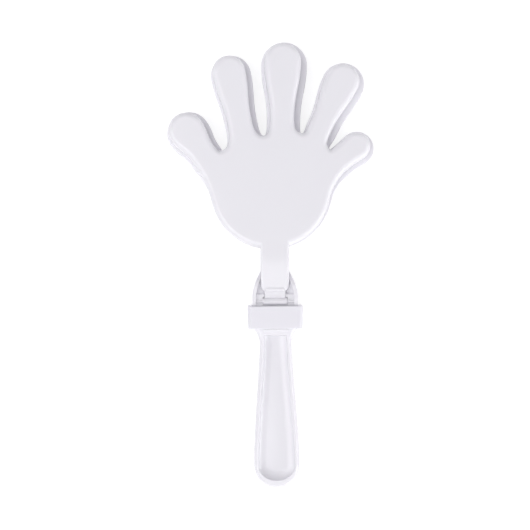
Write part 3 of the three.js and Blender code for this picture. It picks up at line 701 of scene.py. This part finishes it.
def hinge_head(hand, hinge, at):
    """The neck of the middle hand with its cheeks and the block under the collar."""
    start = Vector((hand.neck_width / 2 - hinge.flare_inset, PALM_CENTRE.y))
    edge = flare_edge(hand, hinge, at, 0)
    side = [straight(start, edge[0]), edge, straight(edge[3], (at.block_half_width, at.collar_top))]
    plate = slab(with_mirror(side), -at.plate, at.plate)
    cheeks = slab(with_mirror(side), -hinge.cheek_height, hinge.cheek_height)
    half_way = (hinge.flare_start + hinge.cheek_full_at) / 2
    stop = at.collar_top + hinge.collar_gap
    tall, fallen = hinge.cheek_height, hinge.cheek_height - hinge.cheek_fall
    climb = cubic(
        (hinge.flare_start, at.plate), (half_way, at.plate + hinge.cheek_foot),
        (half_way, tall), (hinge.cheek_full_at, tall),
    )
    falling = hinge.cheek_fall_from
    upper = [
        climb, straight((hinge.cheek_full_at, tall), (falling, tall)),
        cubic((falling, tall), (0, tall), (falling / 2, fallen), (stop, fallen)),
    ]
    lower = [[Vector((p.x, -p.y)) for p in reversed(piece)] for piece in reversed(upper)]
    back = straight((stop, fallen), (stop, -fallen))
    front = straight((hinge.flare_start, -at.plate), (hinge.flare_start, at.plate))
    cheeks = combined(cheeks, "INTERSECT", cross_slab([*upper, back, *lower, front], 2 * at.block_half_width))
    half, depth = at.block_half_width, at.block_half_depth
    seat = block((-half, at.collar_bottom, -depth), (half, at.collar_top + 2 * hinge.collar_gap, depth))
    hollowed = combined(
        combined(cheeks, "UNION", seat), "DIFFERENCE", pocket(hand, hinge, at, 1), pocket(hand, hinge, at, -1)
    )
    rib_half, rib_end = half - hinge.cheek_wall, at.rib + hinge.rib_width
    into, level = rib_half + hinge.cheek_wall / 2, hinge.cradle_level
    cradles = block((-into, -at.sweep - hinge.cheek_wall / 2, -level), (into, rib_end, level))
    bedded = combined(
        combined(hollowed, "UNION", cradles, plate), "DIFFERENCE",
        *beds(hand, hinge, at, 1), *beds(hand, hinge, at, -1),
    )
    rib_top = at.hinge - hand.tongue_behind - hinge.rib_gap
    rib = block((-rib_half, at.rib, -rib_top), (rib_half, rib_end, rib_top))
    reach = rib_half + hand.pin_reach + hinge.running_gap
    bearings = [cross_bar(hand.pin_radius + hinge.bed_gap, reach, way * at.hinge) for way in (1, -1)]
    return combined(combined(bedded, "UNION", rib), "DIFFERENCE", *bearings)


def grip_edge(handle, at):
    """The handle's right edge below its waist."""
    waist, level = handle.waist_width / 2, at.collar_bottom - handle.waist_below
    centre = at.collar_bottom - handle.handle_length + at.block_half_width
    half = at.block_half_width
    swell = Vector((waist + GRIP_SWELL.x, level - GRIP_SWELL.y))
    return cubic((waist, level), swell, (half, centre + GRIP_END_RUN), (half, centre))


def handle_body(handle, at):
    """The handle from its root in the block to its round end, with an oval edge all round."""
    grip = grip_edge(handle, at)
    half, bottom = at.block_half_width, at.collar_bottom
    root, top = Vector((half, bottom + HANDLE_ROOT)), Vector((half, bottom + SHOULDER_START))
    corner = Vector((half - SHOULDER_CORNER.x, bottom - SHOULDER_CORNER.y))
    shoulder = cubic(top, corner, (grip[0].x, bottom - SHOULDER_END), grip[0])
    side = [straight(root, top), shoulder, grip, *arc((0, grip[3].y), (half, half), 0, -90)]
    bm = oval_edged(with_mirror(side), handle.thickness / 2, handle.edge_width, handle.edge_depth, (1, -1))
    # Cut apart in the middle, at the waist and at the round end, because the recess leaves rims that bend
    # too far round for a single face
    cut_across(bm, (0, 0, 0), (1, 0, 0))
    cut_across(bm, grip[0].to_3d(), (0, 1, 0))
    cut_across(bm, grip[3].to_3d(), (0, 1, 0))
    return bm


def oval_edged(pieces, half_thickness, width, depth, ways):
    """A slab about the middle plane whose rims are rounded more deeply than widely."""
    flat = width / depth
    bm = slab(pieces, -half_thickness * flat, half_thickness * flat)
    rounded(bm, rim(bm, ways), width, ROUND_STEPS)
    bmesh.ops.scale(bm, vec=(1, 1, 1 / flat), verts=bm.verts)
    return bm


def recess(handle, at, way):
    """The dish in one face of the handle, as the solid that cuts it. It runs out past the handle's root, and
    the bridge under the collar ends it."""
    grip = [point - Vector((handle.recess_rim, 0)) for point in grip_edge(handle, at)]
    start = Vector((grip[0].x, at.collar_bottom + HANDLE_ROOT + handle.recess_wall))
    radii = (grip[3].x, at.block_half_width - handle.recess_end_rim)
    side = [straight(start, grip[0]), grip, *arc((0, grip[3].y), radii, 0, -90)]
    tall = RECESS_CUTTER * handle.recess_depth
    bm = oval_edged(with_mirror(side), tall, handle.recess_wall, handle.recess_depth, (-way,))
    floor = handle.thickness / 2 - handle.recess_depth
    bmesh.ops.translate(bm, verts=bm.verts, vec=(0, 0, way * (floor + tall)))
    return bm


def ramps(handle, at):
    """The slope from the block down to the handle and its end in the recess, and the ramp that the collar
    clicks past."""
    bottom, thin, thick = at.collar_bottom, handle.thickness / 2, at.block_half_depth
    foot, edge = bottom - handle.snap_length, bottom - handle.recess_below
    fall = Vector((handle.recess_end_wall, handle.recess_depth)) * INTO_FLOOR
    bridge = thin - BRIDGE_BELOW
    front = [(bottom, thick), (foot, bridge), (edge, bridge), (edge - fall.x, bridge - fall.y)]
    snap, top = at.bore_half_depth + handle.snap_overlap, bottom - SNAP_BELOW
    wedge = [(top, snap), (foot, thin)]
    filler, ramp = (corners([(y, -z) for y, z in side] + side[::-1]) for side in (front, wedge))
    return tuple(cross_slab(side, handle.snap_width / 2, STRAIGHT_STEPS) for side in (filler, ramp))


def middle_moulding(hand, hinge, handle, at):
    """The middle hand, its hinge head and the handle, one moulding."""
    plate = slab(hand_outline(1), -at.plate, at.plate)
    rounded(plate, rim(plate, (1, -1)), hand.plate_edge, SOFT_EDGE_STEPS)
    dished = combined(handle_body(handle, at), "DIFFERENCE", recess(handle, at, 1), recess(handle, at, -1))
    grip = combined(dished, "UNION", *ramps(handle, at))
    return combined(plate, "UNION", combined(grip, "UNION", hinge_head(hand, hinge, at)))


def collar_ring(collar, at):
    """A ring with rounded edges, a little narrower at its lower end."""
    half = collar.width / 2
    bm = block((-half, at.collar_bottom, -at.face), (half, at.collar_top, at.face))
    for vert in bm.verts:
        if vert.co.y < (at.collar_bottom + at.collar_top) / 2:
            vert.co.x -= math.copysign(collar.draft, vert.co.x)
    long_edges = [edge for edge in bm.edges if extent(edge, 1) > LONG_EDGE]
    rounded(bm, long_edges, collar.corner, ROUND_STEPS)
    bore = block(
        (-at.bore_half_width, at.collar_bottom - PAST_ENDS, -at.bore_half_depth),
        (at.bore_half_width, at.collar_top + PAST_ENDS, at.bore_half_depth),
    )
    ring = combined(bm, "DIFFERENCE", bore)
    ring.normal_update()
    ends = [edge for edge in ring.edges if edge.calc_face_angle(0) > CORNER_ANGLE]
    rounded(ring, ends, collar.edge, SOFT_EDGE_STEPS)
    return ring


def add(tree, kind, inputs=None, **settings):
    """Adds a node with its settings, its input values and the sockets that feed it."""
    node = tree.nodes.new(kind)
    for name, value in settings.items():
        setattr(node, name, value)
    for socket, value in (inputs or {}).items():
        if isinstance(value, bpy.types.NodeSocket):
            tree.links.new(value, node.inputs[socket])
        else:
            node.inputs[socket].default_value = value
    return node


def per_metre(size_mm):
    """The noise scale whose features are that many millimetres apart."""
    return 1 / (size_mm * TO_METRES)


def shade(base, share):
    """A share of a colour, for a socket."""
    return (*(share * channel for channel in base), 1)


def empty_tree(owner):
    """The node tree of a material or a world, with no nodes in it yet."""
    owner.use_nodes = True
    owner.node_tree.nodes.clear()
    return owner.node_tree


def moulded_plastic(name, base, roughness, ior):
    """White plastic from a polished mould: an even, shiny skin that ripples a little where it shrank."""
    material = bpy.data.materials.new(name)
    tree = empty_tree(material)
    place = add(tree, "ShaderNodeTexCoord").outputs["Object"]
    # The pigment isn't mixed in quite evenly and leaves wide clouds, a shade apart
    clouds = add(tree, "ShaderNodeTexNoise", {"Vector": place, "Scale": per_metre(CLOUDS), "Detail": 2})
    shades = add(tree, "ShaderNodeMix", {
        "Factor": clouds.outputs["Fac"], COLOUR_A: shade(base, CLOUD_SHADE), COLOUR_B: shade(base, 1),
    }, data_type="RGBA")
    # Fine dullness from handling, in small patches
    handling = add(tree, "ShaderNodeTexNoise", {"Vector": place, "Scale": per_metre(PATCHES), "Detail": 4})
    gloss = add(tree, "ShaderNodeMapRange", {
        "Value": handling.outputs["Fac"], "From Min": NOISE_RANGE[0], "From Max": NOISE_RANGE[1],
        "To Min": roughness - PATCH_DULLNESS, "To Max": roughness + PATCH_DULLNESS,
    })
    # Wear along the edges, where the moulding is rubbed: duller and a shade greyer, broken up by the patches
    edges = add(tree, "ShaderNodeMapRange", {
        "Value": add(tree, "ShaderNodeNewGeometry").outputs["Pointiness"],
        "From Min": EDGE_POINTINESS[0], "From Max": EDGE_POINTINESS[1],
    })
    rubbed = add(tree, "ShaderNodeMath", {0: edges.outputs["Result"], 1: handling.outputs["Fac"]},
                 operation="MULTIPLY").outputs[0]
    dull = add(tree, "ShaderNodeMath", {0: rubbed, 1: WEAR_DULLNESS, 2: gloss.outputs["Result"]},
               operation="MULTIPLY_ADD")
    worn = add(tree, "ShaderNodeMix", {
        "Factor": rubbed, COLOUR_A: shades.outputs[MIXED_COLOUR], COLOUR_B: shade(base, WEAR_GREY),
    }, data_type="RGBA")
    # Sink and flow ripples, about a hundredth of a millimetre high
    ripples = add(tree, "ShaderNodeTexNoise", {"Vector": place, "Scale": per_metre(RIPPLES), "Detail": 1})
    bump = add(tree, "ShaderNodeBump", {
        "Height": ripples.outputs["Fac"], "Strength": RIPPLE_STRENGTH, "Distance": RIPPLE_DEPTH,
    })
    shader = add(tree, "ShaderNodeBsdfPrincipled", {
        "Base Color": worn.outputs[MIXED_COLOUR], "Roughness": dull.outputs[0],
        "IOR": ior, "Normal": bump.outputs["Normal"], "Subsurface Weight": GLOW_SHARE,
        "Subsurface Radius": GLOW_COLOURS, "Subsurface Scale": GLOW_DEPTH,
    })
    add(tree, "ShaderNodeOutputMaterial", {"Surface": shader.outputs["BSDF"]})
    return material


def seen_rays(tree):
    """1 for the rays that show a background: to the camera, in a reflection or through something clear."""
    ray = add(tree, "ShaderNodeLightPath")
    both = add(tree, "ShaderNodeMath", {0: ray.outputs["Is Camera Ray"], 1: ray.outputs["Is Glossy Ray"]},
               operation="MAXIMUM")
    return add(tree, "ShaderNodeMath", {0: both.outputs[0], 1: ray.outputs["Is Transmission Ray"]},
               operation="MAXIMUM").outputs[0]


def floor_paper(name, base):
    """Matt white studio paper. The camera and mirrors see it nearly lit through, so that it stays a clean
    white with the object's soft shadow on it; other light only bounces off its colour."""
    material = bpy.data.materials.new(name)
    tree = empty_tree(material)
    seen = seen_rays(tree)
    paper = add(tree, "ShaderNodeBsdfDiffuse", {"Color": (*base, 1)})
    faint = add(tree, "ShaderNodeBsdfDiffuse", {"Color": (*FLOOR_CATCH, 1)})
    glow = add(tree, "ShaderNodeEmission", {"Color": (1, 1, 1, 1), "Strength": FLOOR_GLOW})
    both = add(tree, "ShaderNodeAddShader", {0: faint.outputs[0], 1: glow.outputs[0]})
    mix = add(tree, "ShaderNodeMixShader", {0: seen, 1: paper.outputs[0], 2: both.outputs[0]})
    add(tree, "ShaderNodeOutputMaterial", {"Surface": mix.outputs[0]})
    return material


def pieces_sizes(scene):
    hand = millimetres(scene.clapper_hand)
    hinge = millimetres(scene.clapper_hinge)
    collar = millimetres(scene.clapper_collar)
    return hand, hinge, collar, levels(hand, hinge, collar)


def polystyrene(scene):
    """Polystyrene, injection moulded: hard, with a clear shine and crisp edges."""
    found = bpy.data.materials.get("polystyrene")
    base = scene.clapper_colours.polystyrene[:]
    return found or moulded_plastic("polystyrene", base, roughness=0.17, ior=1.59)


class CLAPPER_OT_outer_hands(bpy.types.Operator):
    """Builds the two hollow hands that swing on the middle one"""

    bl_idname = "clapper.outer_hands"
    bl_label = "Build outer hands"

    def execute(self, context):
        hand, hinge, _, at = pieces_sizes(context.scene)
        material = polystyrene(context.scene)
        front = outer_hand(hand, hinge, at)
        back = front.copy()
        bmesh.ops.scale(back, vec=(1, 1, -1), verts=back.verts)
        finished("front_hand", front, material, "front_hand", "front_palm")
        finished("back_hand", back, material, "back_hand", "back_palm")
        return {"FINISHED"}


class CLAPPER_OT_middle(bpy.types.Operator):
    """Builds the middle hand with its hinge cheeks and the handle"""

    bl_idname = "clapper.middle"
    bl_label = "Build middle hand and handle"

    def execute(self, context):
        hand, hinge, _, at = pieces_sizes(context.scene)
        handle = millimetres(context.scene.clapper_handle)
        moulding = middle_moulding(hand, hinge, handle, at)
        material = polystyrene(context.scene)
        finished("middle_hand", moulding, material, "middle_hand", "centre_palm")
        return {"FINISHED"}


class CLAPPER_OT_collar(bpy.types.Operator):
    """Builds the collar that locks the hinges"""

    bl_idname = "clapper.collar"
    bl_label = "Build collar"

    def execute(self, context):
        _, _, collar, at = pieces_sizes(context.scene)
        # Polypropylene, injection moulded: tougher and a little waxier in its shine
        base = context.scene.clapper_colours.polypropylene[:]
        material = moulded_plastic("polypropylene", base, roughness=0.3, ior=1.49)
        finished("collar_ring", collar_ring(collar, at), material, "middle_hand", "collar")
        return {"FINISHED"}


def soft_box(name, azimuth, elevation, size, power):
    """A lamp with a wide, even face, aimed at the clapper."""
    lamp = bpy.data.lights.new(name, "AREA")
    lamp.shape = "RECTANGLE"
    lamp.size, lamp.size_y = size
    lamp.energy = power
    holder = linked(name, lamp)
    turn, rise = math.radians(azimuth), math.radians(elevation)
    way = Vector((math.sin(turn) * math.cos(rise), math.cos(turn) * math.cos(rise), math.sin(rise)))
    holder.location = way * LAMP_DISTANCE
    holder.rotation_euler = way.to_track_quat("Z", "Y").to_euler()


class CLAPPER_OT_stage(bpy.types.Operator):
    """Sets up the floor, the lamps and the camera"""

    bl_idname = "clapper.stage"
    bl_label = "Build studio"

    def execute(self, context):
        scene = context.scene
        bm = bmesh.new()
        bmesh.ops.create_grid(bm, x_segments=1, y_segments=1, size=FLOOR_HALF_SIZE)
        bmesh.ops.translate(bm, verts=bm.verts, vec=(0, 0, FLOOR_LEVEL))
        mesh = mesh_of("floor", bm)
        mesh.materials.append(floor_paper("studio paper", scene.clapper_colours.floor[:]))
        linked("floor", mesh)

        # The room's faintly violet light fills the shadows; the camera and mirrors see plain white
        world = bpy.data.worlds.new("studio")
        scene.world = world
        tree = empty_tree(world)
        room = add(tree, "ShaderNodeBackground", {"Color": (*ROOM_COLOUR, 1), "Strength": ROOM_STRENGTH})
        white = add(tree, "ShaderNodeBackground", {"Color": (1, 1, 1, 1), "Strength": 1})
        mix = add(tree, "ShaderNodeMixShader", {0: seen_rays(tree), 1: room.outputs[0], 2: white.outputs[0]})
        add(tree, "ShaderNodeOutputWorld", {"Surface": mix.outputs[0]})

        for lamp in LAMPS:
            soft_box(*lamp)

        camera = bpy.data.cameras.new("camera")
        camera.sensor_fit = "HORIZONTAL"
        camera.angle = CAMERA_ANGLE
        camera.clip_start = CAMERA_NEAREST
        holder = linked("camera", camera)
        holder.location = CAMERA_PLACE
        holder.rotation_euler = (0, 0, CAMERA_ROLL)
        scene.camera = holder
        scene.view_settings.view_transform = "Standard"
        return {"FINISHED"}


class CLAPPER_PT_panel(bpy.types.Panel):
    """The sizes and colours of the clapper, and the steps that build it"""

    bl_idname = "CLAPPER_PT_panel"
    bl_label = "Hand clapper"
    bl_space_type = "VIEW_3D"
    bl_region_type = "UI"
    bl_category = "Clapper"

    def draw(self, context):
        scene = context.scene
        for step in STEPS:
            self.layout.operator(step.bl_idname)
        for group in GROUPS:
            box = self.layout.box()
            settings = getattr(scene, group)
            for name in own_names(settings):
                box.prop(settings, name)


STEPS = (CLAPPER_OT_outer_hands, CLAPPER_OT_middle, CLAPPER_OT_collar, CLAPPER_OT_stage)
GROUPS = {
    "clapper_hand": ClapperHandSizes,
    "clapper_hinge": ClapperHingeSizes,
    "clapper_handle": ClapperHandleSizes,
    "clapper_collar": ClapperCollarSizes,
    "clapper_colours": ClapperColours,
}
CLASSES = (*GROUPS.values(), *STEPS, CLAPPER_PT_panel)


def register():
    for item in CLASSES:
        bpy.utils.register_class(item)
    for name, group in GROUPS.items():
        setattr(bpy.types.Scene, name, PointerProperty(type=group))


def unregister():
    for name in GROUPS:
        delattr(bpy.types.Scene, name)
    for item in reversed(CLASSES):
        bpy.utils.unregister_class(item)


def main():
    register()
    bpy.ops.clapper.outer_hands()
    bpy.ops.clapper.middle()
    bpy.ops.clapper.collar()
    bpy.ops.clapper.stage()


if __name__ == "__main__":
    main()
